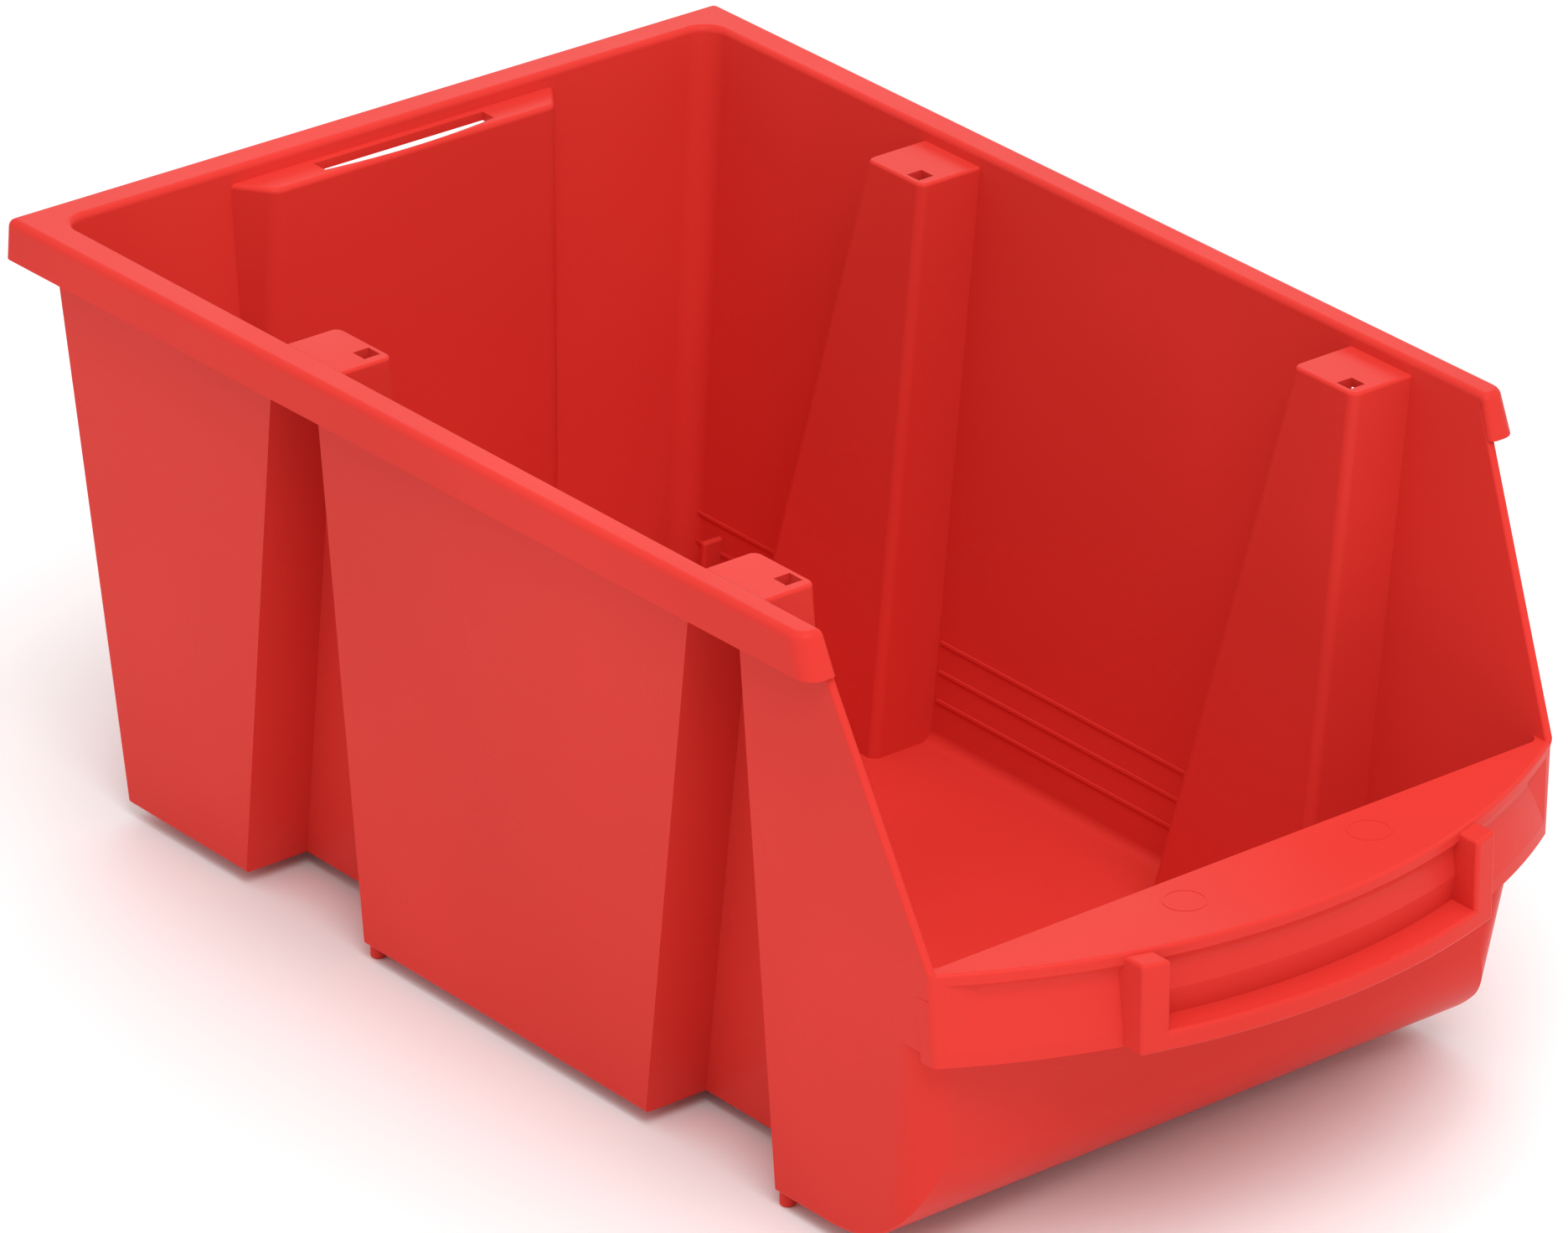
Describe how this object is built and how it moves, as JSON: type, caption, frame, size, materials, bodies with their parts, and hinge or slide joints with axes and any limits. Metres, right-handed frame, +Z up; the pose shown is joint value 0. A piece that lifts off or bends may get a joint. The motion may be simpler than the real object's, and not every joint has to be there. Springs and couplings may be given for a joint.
{
  "type": "stackable open-fronted storage bin",
  "caption": "Open-fronted plastic storage bin with a turned-down rim, stacking columns, a bowed front shelf with label holder and a rear hanging pocket.",
  "frame": {"origin": "centre of the whole bin in plan, at the tips of the stacking pegs (the lowest points)", "axes": "+Z up, -Y out of the open front, +X to the right seen from the front"},
  "size_m": [0.2108, 0.3508, 0.157],
  "materials": {
    "red_polypropylene": "satin"
  },
  "bodies": {
    "root": {"base_floor": "red_polypropylene", "front_wall": "red_polypropylene", "rear_wall": "red_polypropylene", "hanging_pocket": "red_polypropylene", "rear_rim": "red_polypropylene", "left_rim": "red_polypropylene", "right_rim": "red_polypropylene", "front_shelf": "red_polypropylene", "front_band": "red_polypropylene", "label_holder": "red_polypropylene", "corner_ribs": "red_polypropylene", "stacking_pegs": "red_polypropylene", "left_rear_panel": "red_polypropylene", "left_middle_panel": "red_polypropylene", "left_front_panel": "red_polypropylene", "right_rear_panel": "red_polypropylene", "right_middle_panel": "red_polypropylene", "right_front_panel": "red_polypropylene", "left_rear_column": "red_polypropylene", "left_front_column": "red_polypropylene", "right_rear_column": "red_polypropylene", "right_front_column": "red_polypropylene"}
  },
  "joints": []
}
